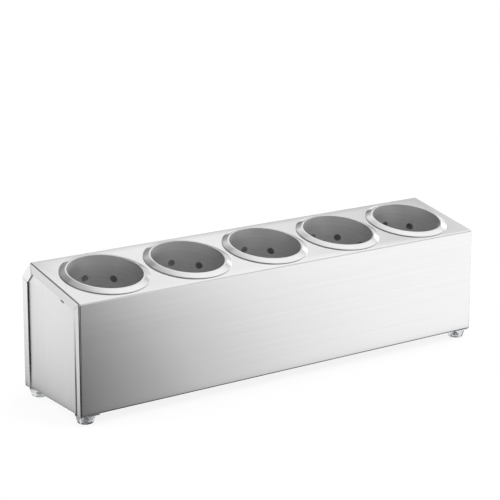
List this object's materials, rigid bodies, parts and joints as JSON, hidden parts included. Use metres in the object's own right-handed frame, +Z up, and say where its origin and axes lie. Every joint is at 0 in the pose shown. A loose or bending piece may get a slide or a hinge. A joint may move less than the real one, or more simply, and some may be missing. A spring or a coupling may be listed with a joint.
{
  "type": "cutlery cylinder rack",
  "caption": "Free-standing folded sheet-steel rack whose sloping top holds a row of lift-out perforated cutlery cylinders, on small clear feet.",
  "frame": {"origin": "on the floor, under the middle of the rack", "axes": "+X along the rack to the right as seen from the front, +Y from the front to the rear, +Z up"},
  "size_m": [0.62, 0.143, 0.1786],
  "materials": {
    "stand_steel": "long fine brushing along the rack, satin",
    "panel_steel": "fine upright brushing, satin",
    "cylinder_steel": "bright turned finish, finer on the rim",
    "clear_rubber": "clear soft rubber with a smooth moulded surface",
    "fixing_steel": "plain zinc-plated, slightly dull"
  },
  "bodies": {
    "stand": {"body_shell": "stand_steel", "end_panel_left": "panel_steel", "end_panel_right": "panel_steel", "foot_front_left": "clear_rubber", "foot_front_right": "clear_rubber", "foot_rear_left": "clear_rubber", "foot_rear_right": "clear_rubber", "foot_washer_front_left": "fixing_steel", "foot_washer_front_right": "fixing_steel", "foot_washer_rear_left": "fixing_steel", "foot_washer_rear_right": "fixing_steel", "foot_screw_front_left": "fixing_steel", "foot_screw_front_right": "fixing_steel", "foot_screw_rear_left": "fixing_steel", "foot_screw_rear_right": "fixing_steel", "foot_nut_front_left": "fixing_steel", "foot_nut_front_right": "fixing_steel", "foot_nut_rear_left": "fixing_steel", "foot_nut_rear_right": "fixing_steel"},
    "cylinder_1": {"cutlery_cylinder_1": "cylinder_steel"},
    "cylinder_2": {"cutlery_cylinder_2": "cylinder_steel"},
    "cylinder_3": {"cutlery_cylinder_3": "cylinder_steel"},
    "cylinder_4": {"cutlery_cylinder_4": "cylinder_steel"},
    "cylinder_5": {"cutlery_cylinder_5": "cylinder_steel"}
  },
  "joints": [
    {"name": "cylinder_1_lift", "type": "slide", "parent": "stand", "child": "cylinder_1", "axis": [0, -0.192, 0.9814], "range_m": [0, 0.15]},
    {"name": "cylinder_2_lift", "type": "slide", "parent": "stand", "child": "cylinder_2", "axis": [0, -0.192, 0.9814], "range_m": [0, 0.15]},
    {"name": "cylinder_3_lift", "type": "slide", "parent": "stand", "child": "cylinder_3", "axis": [0, -0.192, 0.9814], "range_m": [0, 0.15]},
    {"name": "cylinder_4_lift", "type": "slide", "parent": "stand", "child": "cylinder_4", "axis": [0, -0.192, 0.9814], "range_m": [0, 0.15]},
    {"name": "cylinder_5_lift", "type": "slide", "parent": "stand", "child": "cylinder_5", "axis": [0, -0.192, 0.9814], "range_m": [0, 0.15]}
  ]
}
